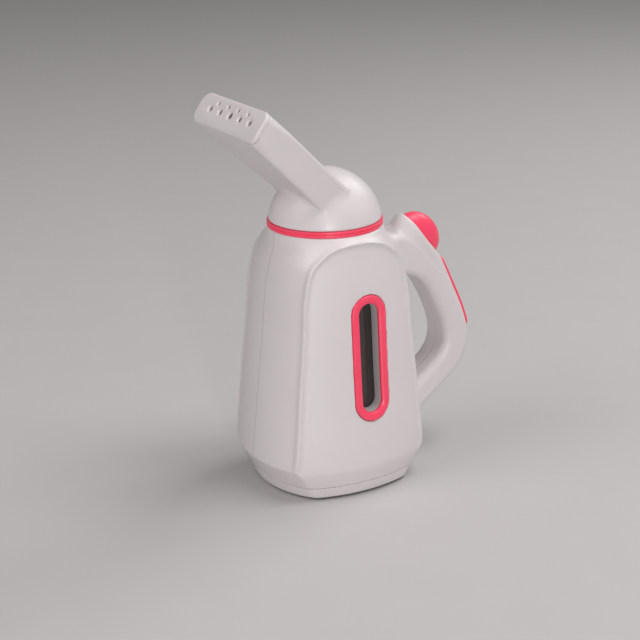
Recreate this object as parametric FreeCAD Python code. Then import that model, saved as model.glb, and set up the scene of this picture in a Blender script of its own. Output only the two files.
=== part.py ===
"""Handheld garment steamer: a jug-shaped housing in two halves with a bent handle, a clear-sided water
tank over a tube heater, and a twist-off domed head with a wide fan nozzle.

All sizes are millimetres. The shapes are drawn about the neck axis (x = 0, y = 0) with the nozzle
towards -Y and the handle towards +Y, and every part is moved by NECK_Y when it is written, so that the
finished part has its origin on the floor, in the middle of its footprint.
"""

import FreeCAD, Part

import math
import os

V = FreeCAD.Vector
X_AXIS, Z_AXIS = V(1, 0, 0), V(0, 0, 1)

# ---------------------------------------------------------------- driving dimensions
NECK_Y = -15.9          # the neck axis in the finished part's frame
WALL = 2.2              # moulded walls of the housing and the head
GAP = 0.3               # clearance between separate mouldings

BASE_TOP = 8.0          # the base cover's outer skirt ends here and the housing starts
CHAMFER_TOP = 20.0      # the housing tapers in below this height
NECK_Z = 158.3          # top deck of the housing
# Height, half width, half depth and backward shift of the egg-shaped form that the side panels cut.
FOOT_FORM = [(1.0, 52.6, 44.8, 0.8), (BASE_TOP, 56.6, 47.3, 0.8), (CHAMFER_TOP, 65.2, 53.3, 0.8)]
BODY_FORM = [
    (CHAMFER_TOP, 65.2, 53.3, 0.8),
    (60.0, 63.1, 48.9, 0.8),
    (100.0, 60.5, 44.2, 0.8),
    (124.0, 58.6, 41.9, 0.8),
    (140.0, 54.3, 38.6, 0.8),
    (149.0, 44.7, 35.4, 0.6),
    (154.5, 37.6, 34.7, 0.2),
    (NECK_Z, 34.5, 34.3, 0.0),
]
# Height and half width of the two crowned side panels.
SIDE_PANEL = [(1.0, 43.4), (BASE_TOP, 45.2), (CHAMFER_TOP, 48.4), (80.0, 44.4), (130.0, 40.7), (165.0, 36.0)]
SIDE_CROWN = 0.0058     # a side panel's curve: x = half width - crown * y^2
PANEL_REACH = 32.0      # the window's layers are drawn this far front and back
EDGE_EASE = 3.0         # how softly the panels meet the egg form
SECTION_POINTS = 36     # points drawn round each half outline

RING_H = 3.5            # trim ring between housing and head
RING_R = 34.5
HEAD_R = 34.0
HEAD_CENTRE_Z = 158.1   # centre of the dome's sphere
HEAD_Z = NECK_Z + RING_H + 0.2

NECK_R = 27.5           # outside of the tank's neck
NECK_BORE_R = 25.2
NECK_TOP = 170.0
LUG_ANGLE = 30.0
LUG_COUNT = 3
HEAD_TURN = 40.0        # quarter-turn style lock: the head frees after this angle

NOZZLE_TILT = 43.3      # the duct rises this many degrees forward
NOZZLE_FACE_Y, NOZZLE_FACE_Z = -61.5, 229.7
FACE_TILT = 36.5        # the outlet plate's normal rises this many degrees
FACE_HALF_W, FACE_HALF_H, FACE_CORNER = 38.7, 9.8, 6.0
DUCT_LENGTH = 82.0
DUCT_TAPER = 0.171      # half width lost per millimetre of duct
PLATE_T = 3.0

WINDOW_Y, WINDOW_Z = 5.0, 85.2
BEZEL_W, BEZEL_H = 23.8, 76.5
SIGHT_W, SIGHT_H = 15.3, 70.6
BEZEL_PROUD = 0.9
WELL_DEPTH = 8.5        # the pane sits this far under the side panel
PANE_T = 1.5

HANDLE_HALF_W = 12.5
HANDLE_ROUND = 4.0
HANDLE_WALL = 2.8
# Side view (y, z) of the handle's outside, from the shoulder over the thumb end and down to the foot.
HANDLE_OUTLINE = [
    (36.0, 148.0), (42.0, 147.2), (47.6, 150.0), (53.2, 152.4), (58.8, 149.6), (63.4, 144.6),
    (67.6, 139.4), (76.6, 127.0), (84.6, 110.5), (92.2, 93.8), (96.4, 81.0), (97.3, 72.0),
    (95.0, 61.5), (89.6, 53.2), (80.0, 44.4), (65.3, 33.0), (52.0, 23.5),
]
# The finger opening's rim, from the body over the top, round the elbow and back to the body.
FINGER_OUTLINE = [
    (38.0, 121.0), (50.0, 120.6), (60.0, 116.4), (66.4, 108.8), (72.0, 98.4), (76.6, 88.0),
    (79.2, 78.0), (78.6, 69.6), (75.0, 62.8), (67.4, 55.8), (56.0, 47.6), (38.0, 38.0),
]

STRIP_TOP, STRIP_BOTTOM = 125.5, 80.0
STRIP_HALF_W, STRIP_PROUD, STRIP_SUNK = 9.4, 1.4, 1.2

BUTTON_Y, BUTTON_Z = 64.5, 139.9
BUTTON_TILT = 42.7      # the button's push axis rises this many degrees from +Y
BUTTON_HALF_L, BUTTON_HALF_W, BUTTON_H = 17.2, 9.8, 14.3
BUTTON_SKIRT = 1.6
BUTTON_TRAVEL = 2.5
STEM_END = -5.7         # how far the button's stem reaches down its push axis
SWITCH_TOP, SWITCH_BOTTOM = -8.7, -16.7

FOOT_R, FOOT_H = 6.0, 2.4
FOOT_AT = [(sx * 24.0, sy * 27.0) for sx in (-1, 1) for sy in (-1, 1)]
GLAND_Z = 15.5          # cord inlet, low on the back
GLAND_FACE_Y = 54.5     # flat seat of the inlet bush
GLAND_R, GLAND_FLANGE_R, GLAND_BORE_R = 5.2, 6.4, 3.4

SCREW_POST_R = 3.8
HEATER_W, HEATER_D = 30.6, 40.0    # half width and half depth of the heater plate and the tank's flange
HEATER_BOTTOM, HEATER_TOP = 42.4, 44.4
TANK_BOTTOM = 46.0
FLANGE_WIDTH = 5.0


# ---------------------------------------------------------------- small helpers
def spline_edge(points):
    curve = Part.BSplineCurve()
    curve.interpolate(points)
    return curve.toShape()


def ellipse_wire(half_x, half_y, z):
    long_end, short_end = V(half_x, 0, z), V(0, half_y, z)
    if half_y > half_x:
        long_end, short_end = V(0, half_y, z), V(-half_x, 0, z)
    return Part.Wire([Part.Ellipse(long_end, short_end, V(0, 0, z)).toShape()])


def loft(wires, ruled=False):
    return Part.makeLoft(wires, True, ruled)


def tube(r_out, r_in, z0, z1):
    outer = Part.makeCylinder(r_out, z1 - z0, V(0, 0, z0))
    return outer.cut(Part.makeCylinder(r_in, z1 - z0 + 2, V(0, 0, z0 - 1)))


def cylinder(r, length, start, direction):
    return Part.makeCylinder(r, length, start, direction)


def box(x0, x1, y0, y1, z0, z1):
    return Part.makeBox(x1 - x0, y1 - y0, z1 - z0, V(x0, y0, z0))


def stadium(width, height, x0, x1):
    """An upright slot shape at the water window, run along X."""
    r = width / 2
    straight = height / 2 - r
    low, high = WINDOW_Z - straight, WINDOW_Z + straight
    slot = box(x0, x1, WINDOW_Y - r, WINDOW_Y + r, low, high)
    for z in (low, high):
        slot = slot.fuse(cylinder(r, x1 - x0, V(x0, WINDOW_Y, z), X_AXIS))
    return slot.removeSplitter()


def mirrored(shape):
    return shape.mirror(V(0, 0, 0), X_AXIS)


def write(name, shape):
    placed = shape.copy()
    placed.translate(V(0, NECK_Y, 0))
    placed.exportStep("parts/" + name + ".step")
    box_now = placed.optimalBoundingBox()
    print(
        f"{name:24s} solids {len(placed.Solids)} valid {placed.isValid()} volume {placed.Volume:10.1f}"
        f"  x {box_now.XMin:7.1f}..{box_now.XMax:6.1f}"
        f"  y {box_now.YMin:7.1f}..{box_now.YMax:6.1f}  z {box_now.ZMin:6.1f}..{box_now.ZMax:6.1f}"
    )


# ---------------------------------------------------------------- housing form
def along(table, z, column):
    """A smooth curve through one column of a table whose first column is height."""
    zs = [row[0] for row in table]
    vs = [row[column] for row in table]
    z = max(zs[0], min(zs[-1], z))
    k = max(i for i in range(len(zs) - 1) if zs[i] <= z)

    def slope(i):
        if i in (0, len(zs) - 1):
            j = min(i, len(zs) - 2)
            return (vs[j + 1] - vs[j]) / (zs[j + 1] - zs[j])
        return (vs[i + 1] - vs[i - 1]) / (zs[i + 1] - zs[i - 1])

    step = zs[k + 1] - zs[k]
    t = (z - zs[k]) / step
    start = (2 * t**3 - 3 * t**2 + 1) * vs[k] + (t**3 - 2 * t**2 + t) * step * slope(k)
    end = (3 * t**2 - 2 * t**3) * vs[k + 1] + (t**3 - t**2) * step * slope(k + 1)
    return start + end


def body_radius(angle, z, inset):
    """Distance from the neck axis to the housing's surface: the egg form, cut by a crowned side panel
    and eased over the corner between them."""
    c, s = abs(math.cos(angle)), math.sin(angle)
    table = FOOT_FORM if z < CHAMFER_TOP else BODY_FORM
    half_w, half_d = along(table, z, 1) - inset, along(table, z, 2) - inset
    egg = 1.0 / math.hypot(c / half_w, s / half_d)
    panel = along(SIDE_PANEL, z, 1) - inset
    bend = 4 * SIDE_CROWN * s * s * panel
    side = 2 * panel / (c + math.sqrt(c * c + bend))
    ease = max(EDGE_EASE - abs(egg - side), 0.0) / EDGE_EASE
    return min(egg, side) - ease * ease * EDGE_EASE / 4


def half_section(z, inset):
    """The right-hand half of the housing's outline at one height, closed along the parting plane."""
    points = []
    for k in range(SECTION_POINTS + 1):
        angle = -math.pi / 2 + math.pi * k / SECTION_POINTS
        r = body_radius(angle, z, inset)
        shift = along(FOOT_FORM if z < CHAMFER_TOP else BODY_FORM, z, 3)
        points.append(V(max(r * math.cos(angle), 0.0), r * math.sin(angle) + shift, z))
    points[0].x = points[-1].x = 0.0
    return Part.Wire([spline_edge(points), Part.LineSegment(points[-1], points[0]).toShape()])


def half_body(inset, z0, z1):
    """The right-hand half of the solid housing form between two heights, its wall moved in by inset."""
    pieces = []
    for low, high, step in ((z0, min(z1, CHAMFER_TOP), 6.0), (max(z0, CHAMFER_TOP), z1, 7.0)):
        if high - low > 0.01:
            count = max(1, round((high - low) / step))
            heights = [low + (high - low) * k / count for k in range(count + 1)]
            pieces.append(loft([half_section(z, inset) for z in heights], ruled=high <= CHAMFER_TOP))
    return pieces[0] if len(pieces) == 1 else pieces[0].fuse(pieces[1])


def body_solid(inset, z0, z1):
    half = half_body(inset, z0, z1)
    return half.fuse(mirrored(half)).removeSplitter()


def panel_surface_block(inset):
    """Everything on the inner side of the right-hand side panel, moved in by inset, near the window."""
    wires = []
    for z in range(36, 141, 13):
        mid = along(SIDE_PANEL, z, 1) - inset
        edge = mid - SIDE_CROWN * PANEL_REACH**2
        low, high = V(edge, -PANEL_REACH, z), V(edge, PANEL_REACH, z)
        back_high, back_low = V(10, PANEL_REACH, z), V(10, -PANEL_REACH, z)
        wires.append(
            Part.Wire(
                [
                    Part.Arc(low, V(mid, 0, z), high).toShape(),
                    Part.LineSegment(high, back_high).toShape(),
                    Part.LineSegment(back_high, back_low).toShape(),
                    Part.LineSegment(back_low, low).toShape(),
                ]
            )
        )
    return loft(wires)


def side_layer(outer_inset, inner_inset):
    """The layer between two depths under the right-hand side panel."""
    return panel_surface_block(outer_inset).cut(panel_surface_block(inner_inset))


# ---------------------------------------------------------------- handle
def handle_face(outline, close_y):
    points = [V(0, y, z) for y, z in outline]
    first, last = points[0], points[-1]
    edges = [spline_edge(points)]
    if abs(last.y - close_y) > 1e-6:
        foot = V(0, close_y, last.z)
        edges.append(Part.LineSegment(last, foot).toShape())
        last = foot
    edges.append(Part.LineSegment(last, first).toShape())
    return Part.Face(Part.Wire(edges))


def shifted(outline, distance, count=30):
    """Points along a side-view outline, moved square to it: outwards for the handle's back."""
    curve = Part.BSplineCurve()
    curve.interpolate([V(0, y, z) for y, z in outline])
    points = []
    for k in range(count + 1):
        u = curve.FirstParameter + (curve.LastParameter - curve.FirstParameter) * k / count
        run = curve.tangent(u)[0]
        p = curve.value(u) + V(0, -run.z, run.y) * distance
        points.append((p.y, p.z))
    return points


def handle_profile():
    outside = handle_face(HANDLE_OUTLINE, HANDLE_OUTLINE[0][0])
    return outside.cut(handle_face(FINGER_OUTLINE, FINGER_OUTLINE[0][0])).Faces[0]


def extruded(face, half_width):
    solid = face.extrude(V(2 * half_width, 0, 0))
    solid.translate(V(-half_width, 0, 0))
    return solid


def handle_solid():
    """The handle with its long edges rounded."""
    solid = extruded(handle_profile(), HANDLE_HALF_W)
    curved = [e for e in solid.Edges if isinstance(e.Curve, Part.BSplineCurve)]
    long_edges = [e for e in curved if e.BoundBox.XLength < 0.01]
    return solid.makeFillet(HANDLE_ROUND, long_edges)


def handle_core():
    """The handle's hollow."""
    outside = shifted(HANDLE_OUTLINE, -HANDLE_WALL)
    finger_side = shifted(FINGER_OUTLINE, HANDLE_WALL)
    half_w = HANDLE_HALF_W - HANDLE_WALL
    hollow = extruded(handle_face(outside, outside[0][0]), half_w)
    return hollow.cut(extruded(handle_face(finger_side, finger_side[0][0]), half_w + 1))


# ---------------------------------------------------------------- button frame
def button_point(across, along, out):
    """A point beside the button: across the handle, down along it, and out along the push axis."""
    t = math.radians(BUTTON_TILT)
    return V(
        across,
        BUTTON_Y + along * math.sin(t) + out * math.cos(t),
        BUTTON_Z - along * math.cos(t) + out * math.sin(t),
    )


def button_axis():
    return button_point(0, 0, 1).sub(button_point(0, 0, 0))


def in_button_frame(shape):
    """Moves a shape drawn with X across, -Y along the handle and Z out, to the button's place."""
    turned = shape.copy()
    turned.rotate(V(0, 0, 0), X_AXIS, BUTTON_TILT - 90)
    turned.translate(button_point(0, 0, 0))
    return turned


def oval(half_w, half_l, z0, z1):
    """An upright oval prism in the button's own frame, long along Y."""
    ellipse = Part.Ellipse(V(0, half_l, 0), V(-half_w, 0, 0), V(0, 0, 0))
    prism = Part.Face(Part.Wire([ellipse.toShape()])).extrude(V(0, 0, z1 - z0))
    prism.translate(V(0, 0, z0))
    return prism


def power_button():
    squash = FreeCAD.Matrix()
    squash.scale(BUTTON_HALF_W, BUTTON_HALF_L, BUTTON_H)
    dome = Part.makeSphere(1.0).transformGeometry(squash)
    dome = dome.common(box(-40, 40, -40, 40, 0, 40))
    skirt = oval(BUTTON_HALF_W, BUTTON_HALF_L, -BUTTON_SKIRT, 0)
    hollow = oval(BUTTON_HALF_W - 2, BUTTON_HALF_L - 2, -BUTTON_SKIRT - 1, -1.0)
    stem = cylinder(3.0, -1.0 - STEM_END, V(0, 0, STEM_END), Z_AXIS)
    return in_button_frame(dome.fuse(skirt).cut(hollow).fuse(stem).removeSplitter())


# ---------------------------------------------------------------- housing halves
def window_hole():
    return stadium(BEZEL_W + 2 * GAP, BEZEL_H + 2 * GAP, 20, 60)


def inlet_cylinder(r, y0, y1):
    """A cylinder on the cord inlet's axis."""
    return cylinder(r, y1 - y0, V(0, y0, GLAND_Z), V(0, 1, 0))


def screw_points():
    """(y, z) of the screws that hold the two halves together, all through the handle."""
    return [(76.0, 108.0), (88.4, 74.0), (66.0, 44.6)]


def base_screw_points():
    """(x, y, angle) of the base cover's screws; the angle points from the neck axis to the wall."""
    spots = []
    for r, degrees in ((37.6, 0.0), (41.6, -68.0), (37.6, 180.0), (41.6, 248.0)):
        a = math.radians(degrees)
        spots.append((r * math.cos(a), r * math.sin(a), degrees))
    return spots


def base_screw_posts():
    """The posts for the base screws, each tied to the wall by a rib."""
    posts = []
    for x, y, degrees in base_screw_points():
        post = cylinder(SCREW_POST_R, 13.6, V(x, y, 12.4), Z_AXIS)
        rib = box(0, 9.0, -1.2, 1.2, 12.4, 26.0)
        rib.rotate(V(0, 0, 0), Z_AXIS, degrees)
        rib.translate(V(x, y, 0))
        posts.append((x, post.fuse(rib), cylinder(1.5, 12.0, V(x, y, 12.0), Z_AXIS)))
    return posts


def half_shell():
    """The right-hand moulding before its screw features: half the body's wall and half the handle."""
    right = box(0, 80, -80, 120, 0, 200)
    seat = inlet_cylinder(GLAND_FLANGE_R + 0.8, 44, GLAND_FACE_Y).common(box(0, 80, 0, 80, BASE_TOP, 60))
    outside = half_body(0, BASE_TOP, NECK_Z).fuse(handle_solid().common(right)).fuse(seat)
    hollow = half_body(WALL, BASE_TOP - 1, NECK_Z - 2.3).fuse(handle_core().common(right))
    shell = outside.cut(hollow)
    shell = shell.cut(cylinder(NECK_R + 0.6, 20, V(0, 0, NECK_Z - 10), Z_AXIS))
    shell = shell.cut(window_hole())
    pocket_floor = -BUTTON_SKIRT - BUTTON_TRAVEL - 0.5
    shell = shell.cut(in_button_frame(oval(BUTTON_HALF_W + 0.35, BUTTON_HALF_L + 0.35, pocket_floor, 30)))
    shell = shell.cut(inlet_cylinder(GLAND_R + 0.1, 40, 60))
    within = half_body(WALL / 2, 12.0, 27.0)
    for x, post, pilot in base_screw_posts():
        if x > 0:
            shell = shell.fuse(post.common(within)).cut(pilot)
    return shell


def screw_boss(y, z):
    """A boss for one handle screw, from the parting plane to the side wall."""
    return cylinder(3.6, HANDLE_HALF_W - 1.0, V(0, y, z), X_AXIS)


def housing_half(shell, countersunk):
    """One finished half: blind screw pilots, or clear holes with recesses for the heads."""
    half = shell
    for y, z in screw_points():
        half = half.fuse(screw_boss(y, z))
    for y, z in screw_points():
        if countersunk:
            half = half.cut(cylinder(1.7, 30.0, V(-1, y, z), X_AXIS))
            half = half.cut(cylinder(3.0, 30.0, V(6.0, y, z), X_AXIS))
        else:
            half = half.cut(cylinder(1.3, 10.0, V(-1, y, z), X_AXIS))
    return half


def housing_screws():
    """Three pan-head screws, set down their holes from the left half."""
    screws = []
    for y, z in screw_points():
        head = cylinder(2.8, 2.0, V(-6.0, y, z), V(-1, 0, 0))
        drive = box(-8.1, -7.0, y - 2.0, y + 2.0, z - 0.4, z + 0.4)
        drive = drive.fuse(box(-8.1, -7.0, y - 0.4, y + 0.4, z - 2.0, z + 2.0))
        shank = cylinder(1.3, 13.5, V(7.5, y, z), V(-1, 0, 0))
        screws.append(head.fuse(shank).cut(drive))
    return Part.makeCompound(screws)


# ---------------------------------------------------------------- water window
def bezel():
    layer = side_layer(-BEZEL_PROUD, WALL)
    ring = stadium(BEZEL_W, BEZEL_H, 20, 60).cut(stadium(SIGHT_W, SIGHT_H, 20, 60))
    return layer.common(ring)


def window_well():
    """The pale inner wall behind the bezel, with the flange that the bezel clips to."""
    wall = stadium(SIGHT_W + 3, SIGHT_H + 3, 20, 60).cut(stadium(SIGHT_W, SIGHT_H, 20, 60))
    flange = stadium(BEZEL_W + 5, BEZEL_H + 5, 20, 60).cut(stadium(SIGHT_W, SIGHT_H, 20, 60))
    return side_layer(WALL, WELL_DEPTH).common(wall).fuse(side_layer(WALL, WALL + 1.2).common(flange))


def window_pane():
    pane = stadium(SIGHT_W + 3, SIGHT_H + 3, 20, 60)
    return side_layer(WELL_DEPTH, WELL_DEPTH + PANE_T).common(pane)


# ---------------------------------------------------------------- tank and neck
TANK_WALL = 1.8
SHOULDER_Z = 148.0
# Height, half width and half depth of the tank.
TANK_FORM = [(50.0, HEATER_W, HEATER_D), (100.0, 28.6, 37.0), (132.0, 27.9, 33.5), (SHOULDER_Z, 27.9, 28.0)]


def water_tank():
    outer = loft([ellipse_wire(w, d, z) for z, w, d in TANK_FORM])
    inner = loft([ellipse_wire(w - TANK_WALL, d - TANK_WALL, z) for z, w, d in TANK_FORM])
    flange = Part.Face(ellipse_wire(HEATER_W, HEATER_D, TANK_BOTTOM)).extrude(V(0, 0, 4.0))
    mouth = ellipse_wire(HEATER_W - FLANGE_WIDTH, HEATER_D - FLANGE_WIDTH, TANK_BOTTOM - 1)
    opening = Part.Face(mouth).extrude(V(0, 0, 6.0))
    neck_length = NECK_TOP - SHOULDER_Z
    neck = cylinder(NECK_R, neck_length + 1, V(0, 0, SHOULDER_Z - 1), Z_AXIS)
    bore = cylinder(NECK_BORE_R, neck_length + 4, V(0, 0, SHOULDER_Z - 2), Z_AXIS)
    tank = outer.fuse(flange).fuse(neck).cut(inner).cut(opening).cut(bore)
    for k in range(LUG_COUNT):
        lug = lug_sector(NECK_R - 0.5, NECK_R + 1.8, 165.2, 168.2, k)
        tank = tank.fuse(lug)
    for x, y in heater_screw_points():
        tank = tank.cut(cylinder(1.55, 4.0, V(x, y, TANK_BOTTOM - 1), Z_AXIS))
    return tank.removeSplitter()


def lug_sector(r_in, r_out, z0, z1, index):
    """One bayonet lug, centred on its own third of a turn."""
    ring = Part.makeCylinder(r_out, z1 - z0, V(0, 0, z0), Z_AXIS, LUG_ANGLE)
    ring = ring.cut(Part.makeCylinder(r_in, z1 - z0 + 2, V(0, 0, z0 - 1)))
    ring.rotate(V(0, 0, 0), Z_AXIS, index * 360.0 / LUG_COUNT - LUG_ANGLE / 2)
    return ring


def neck_ring():
    ring = tube(RING_R, 29.0, NECK_Z, NECK_Z + RING_H)
    groove = tube(RING_R + 1, RING_R - 0.5, NECK_Z + RING_H / 2 - 0.35, NECK_Z + RING_H / 2 + 0.35)
    return ring.cut(groove)


# ---------------------------------------------------------------- head
def duct_centre(s):
    """(y, z) on the duct's middle line, s millimetres back from the outlet plate."""
    t = math.radians(NOZZLE_TILT)
    return NOZZLE_FACE_Y + s * math.cos(t), NOZZLE_FACE_Z - s * math.sin(t)


def rounded_wire(centre_y, centre_z, tilt, half_w, half_h, corner):
    """A rounded rectangle, wide along X, square to a line that rises forward at tilt degrees."""
    t = math.radians(tilt)

    def at(u, v):
        return V(u, centre_y + v * math.sin(t), centre_z + v * math.cos(t))

    edges = []
    quarter = math.sqrt(0.5) * corner
    for turn in range(4):
        su, sv = ((1, 1), (-1, 1), (-1, -1), (1, -1))[turn]
        cu, cv = su * (half_w - corner), sv * (half_h - corner)
        ends = [at(cu + su * corner, cv), at(cu, cv + sv * corner)]
        if turn % 2:
            ends.reverse()
        edges.append(Part.Arc(ends[0], at(cu + su * quarter, cv + sv * quarter), ends[1]).toShape())
        nu, nv = ((-1, 1), (-1, -1), (1, -1), (1, 1))[turn]
        if turn % 2 == 0:
            line_end = at(nu * (half_w - corner), sv * half_h)
        else:
            line_end = at(su * half_w, nv * (half_h - corner))
        edges.append(Part.LineSegment(ends[1], line_end).toShape())
    return Part.Wire(edges)


def duct(inset, start, end):
    """The fan duct between two distances behind the outlet plate."""
    wires = []
    for s in (start, end):
        y, z = duct_centre(s)
        share = s / DUCT_LENGTH
        tilt = FACE_TILT + (NOZZLE_TILT - FACE_TILT) * max(0.0, min(1.0, share))
        half_w = FACE_HALF_W - DUCT_TAPER * s - inset
        wires.append(rounded_wire(y, z, tilt, half_w, FACE_HALF_H - inset, FACE_CORNER - inset))
    return loft(wires, ruled=True)


def dome(radius):
    ball = Part.makeSphere(radius, V(0, 0, HEAD_CENTRE_Z))
    return ball.common(box(-60, 60, -60, 60, HEAD_Z, 260))


def head_shell():
    outside = dome(HEAD_R).fuse(duct(0, PLATE_T + 0.1, DUCT_LENGTH - 2))
    bowl = Part.makeSphere(HEAD_R - WALL, V(0, 0, HEAD_CENTRE_Z))
    inside = bowl.common(box(-60, 60, -60, 60, HEAD_Z - 1, 260))
    shell = outside.cut(inside).cut(duct(WALL, -1, DUCT_LENGTH - 8))
    skirt = tube(32.2, NECK_R + 2.2, HEAD_Z, 174.0)
    ball = Part.makeSphere(HEAD_R - 0.4, V(0, 0, HEAD_CENTRE_Z))
    shell = shell.fuse(skirt.common(ball))
    for k in range(LUG_COUNT):
        shell = shell.fuse(lug_sector(NECK_R + 0.4, NECK_R + 2.6, HEAD_Z + 0.2, 164.8, k))
    return shell.removeSplitter()


def plate_point(u, v, out):
    """A point on the outlet plate: u across, v up its face, out along its normal."""
    t = math.radians(FACE_TILT)
    return V(
        u,
        NOZZLE_FACE_Y + v * math.sin(t) - out * math.cos(t),
        NOZZLE_FACE_Z + v * math.cos(t) + out * math.sin(t),
    )


def steam_plate():
    """The outlet plate, with two staggered rows of countersunk steam holes and a spigot into the duct."""
    plate = duct(0, 0.0, PLATE_T)
    spigot = duct(WALL + 0.15, PLATE_T, PLATE_T + 3.0).cut(duct(WALL + 1.6, PLATE_T - 1, PLATE_T + 4.0))
    plate = plate.fuse(spigot)
    into = plate_point(0, 0, 0).sub(plate_point(0, 0, 1))
    for u, v in steam_holes():
        plate = plate.cut(cylinder(1.15, 12, plate_point(u, v, 2), into))
        plate = plate.cut(Part.makeCone(2.1, 1.15, 1.1, plate_point(u, v, 0.05), into))
    return plate


def steam_holes():
    lower = [(-24.0 + 12.0 * k, 0.6) for k in range(5)]
    upper = [(-18.0 + 12.0 * k, 5.0) for k in range(4)]
    return lower + upper


def steam_baffle():
    """The splash baffle across the head's mouth, with a ring of ports round a raised cup."""
    disc = tube(NECK_R - 2.6, 7.0, 171.0, 172.6)
    ports = [
        cylinder(2.4, 6, V(16 * math.cos(a), 16 * math.sin(a), 169), Z_AXIS)
        for a in (math.radians(30 + 60 * k) for k in range(6))
    ]
    for port in ports:
        disc = disc.cut(port)
    rim = tube(NECK_R - 0.2, NECK_R - 3.6, 172.6, 174.0)
    cup = tube(8.6, 7.0, 172.6, 181.0).fuse(cylinder(8.6, 1.4, V(0, 0, 181.0), Z_AXIS))
    for k in range(4):
        slot = box(-12, 12, -1.5, 1.5, 174.5, 179.5)
        slot.rotate(V(0, 0, 0), Z_AXIS, 45 * k)
        cup = cup.cut(slot)
    return disc.fuse(rim).fuse(cup).removeSplitter()


def head_seal():
    return tube(NECK_R + 0.2, NECK_R - 2.5, NECK_TOP + 0.1, 172.5)


# ---------------------------------------------------------------- base
def base_cover():
    outside = body_solid(0, 1.0, BASE_TOP - 0.15)
    cover = outside.cut(body_solid(2.4, 3.2, BASE_TOP + 1))
    rim = body_solid(WALL + GAP, 3.0, 12.0).cut(body_solid(WALL + GAP + 1.8, 2.0, 13.0))
    cover = cover.fuse(rim)
    for x, y in FOOT_AT:
        cover = cover.fuse(cylinder(FOOT_R + 1.8, 3.0, V(x, y, 1.0), Z_AXIS))
        cover = cover.cut(cylinder(FOOT_R + 0.1, 1.4, V(x, y, 1.0), Z_AXIS))
    for x, y in clamp_screw_points():
        cover = cover.fuse(cylinder(3.2, 11.4, V(x, y, 3.0), Z_AXIS))
        cover = cover.cut(cylinder(1.2, 9.0, V(x, y, 6.0), Z_AXIS))
    boss_room = body_solid(WALL + GAP, 1.5, 12.2)
    for x, y, _ in base_screw_points():
        cover = cover.fuse(cylinder(4.6, 10.7, V(x, y, 1.5), Z_AXIS).common(boss_room))
        cover = cover.cut(cylinder(1.8, 14.0, V(x, y, 0), Z_AXIS))
        cover = cover.cut(cylinder(3.4, 3.5, V(x, y, 0), Z_AXIS))
    return cover.cut(inlet_cylinder(GLAND_FLANGE_R + 0.5, 35, 60)).removeSplitter()


def base_screws():
    screws = []
    for x, y, _ in base_screw_points():
        head = cylinder(3.1, 2.0, V(x, y, 1.5), Z_AXIS)
        cross = box(x - 2, x + 2, y - 0.45, y + 0.45, 1.4, 2.5)
        cross = cross.fuse(box(x - 0.45, x + 0.45, y - 2, y + 2, 1.4, 2.5))
        screws.append(head.fuse(cylinder(1.45, 18.0, V(x, y, 3.5), Z_AXIS)).cut(cross))
    return Part.makeCompound(screws)


def rubber_feet():
    return Part.makeCompound([cylinder(FOOT_R, FOOT_H, V(x, y, 0), Z_AXIS) for x, y in FOOT_AT])


def cord_gland():
    """The cord inlet bush: a flange on the seat, a body through the wall and a snap flange inside."""
    bush = inlet_cylinder(GLAND_R, 43.5, GLAND_FACE_Y + 1.0)
    bush = bush.fuse(inlet_cylinder(GLAND_FLANGE_R, 42.5, 44.5))
    bush = bush.fuse(inlet_cylinder(GLAND_FLANGE_R, GLAND_FACE_Y + 0.05, GLAND_FACE_Y + 2.0))
    return bush.cut(inlet_cylinder(GLAND_BORE_R, 30, 70))


def clamp_screw_points():
    return [(-8.0, 27.5), (8.0, 27.5)]


def cord_clamp():
    """The saddle that grips the cord inside, on its two posts."""
    saddle = box(-11, 11, 24, 31, 14.5, 17.3)
    arch = inlet_cylinder(5.4, 24, 31).common(box(-20, 20, 20, 40, 14.5, 30))
    saddle = saddle.fuse(arch).cut(inlet_cylinder(GLAND_BORE_R, 20, 40))
    for x, y in clamp_screw_points():
        saddle = saddle.cut(cylinder(1.5, 20, V(x, y, 10), Z_AXIS))
    return saddle.removeSplitter()


def clamp_screws():
    screws = []
    for x, y in clamp_screw_points():
        head = cylinder(2.4, 1.6, V(x, y, 17.35), Z_AXIS)
        screws.append(head.fuse(cylinder(1.15, 10.0, V(x, y, 7.4), Z_AXIS)))
    return Part.makeCompound(screws)


# ---------------------------------------------------------------- heater and wiring parts
def heater_plate():
    plate = Part.Face(ellipse_wire(HEATER_W, HEATER_D, HEATER_BOTTOM)).extrude(V(0, 0, 2.0))
    for x, y in heater_screw_points():
        plate = plate.cut(cylinder(1.7, 8, V(x, y, 40), Z_AXIS))
    for x in (-10.0, 10.0):
        plate = plate.cut(cylinder(4.1, 8, V(x, -18, 40), Z_AXIS))
    return plate


def heater_screw_points():
    mid_w, mid_d = HEATER_W - FLANGE_WIDTH / 2, HEATER_D - FLANGE_WIDTH / 2
    return [(0.0, mid_d), (0.0, -mid_d), (mid_w, 0.0), (-mid_w, 0.0)]


def heater_gasket():
    outer = Part.Face(ellipse_wire(HEATER_W - 0.2, HEATER_D - 0.2, HEATER_TOP)).extrude(V(0, 0, 1.6))
    inner = Part.Face(ellipse_wire(HEATER_W - 6.0, HEATER_D - 6.0, 44.0)).extrude(V(0, 0, 3.0))
    gasket = outer.cut(inner)
    for x, y in heater_screw_points():
        gasket = gasket.cut(cylinder(1.7, 8, V(x, y, 40), Z_AXIS))
    return gasket


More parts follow.
